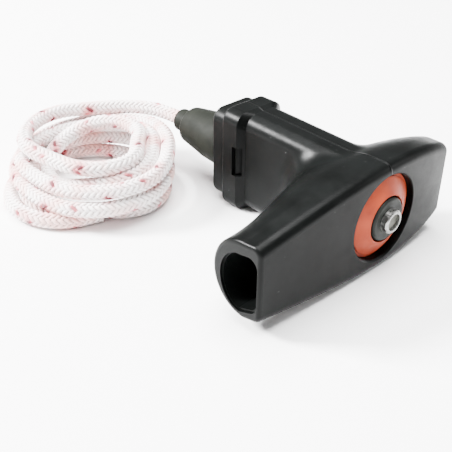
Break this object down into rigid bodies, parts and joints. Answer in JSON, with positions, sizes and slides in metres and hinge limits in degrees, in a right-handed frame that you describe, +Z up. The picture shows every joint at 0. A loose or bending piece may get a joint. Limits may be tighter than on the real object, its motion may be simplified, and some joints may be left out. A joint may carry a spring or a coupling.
{
  "type": "recoil starter handle",
  "caption": "T-shaped moulded starter pull handle with a ringed front recess, crimped rope end, rubber rope guide and a coil of braided rope.",
  "frame": {"origin": "centre of the bottom of the handle's box, without the free rope", "axes": "+X along the grip bar towards its short arm, +Y along the stem towards the rope, +Z up as the handle lies"},
  "size_m": [0.0922, 0.1245, 0.0332],
  "materials": {
    "grip_nylon": "satin moulded nylon with a fine grain",
    "ring_plastic": "satin terracotta moulding",
    "cup_plastic": "satin moulded nylon",
    "sleeve_steel": "crimped bare steel",
    "damper_rubber": "black rubber",
    "cap_nylon": "satin moulded nylon with a fine grain",
    "guide_rubber": "grey-black rubber",
    "rope_fibre": "white braid with red tracer flecks"
  },
  "bodies": {
    "root": {"grip_body": "grip_nylon", "front_ring": "ring_plastic", "anchor_cup": "cup_plastic", "rope_sleeve": "sleeve_steel", "damper_sleeve": "damper_rubber", "end_cap": "cap_nylon", "rope_guide": "guide_rubber", "rope_inside": "rope_fibre", "rope_lead": "rope_fibre", "rope_coil": "rope_fibre"}
  },
  "joints": []
}
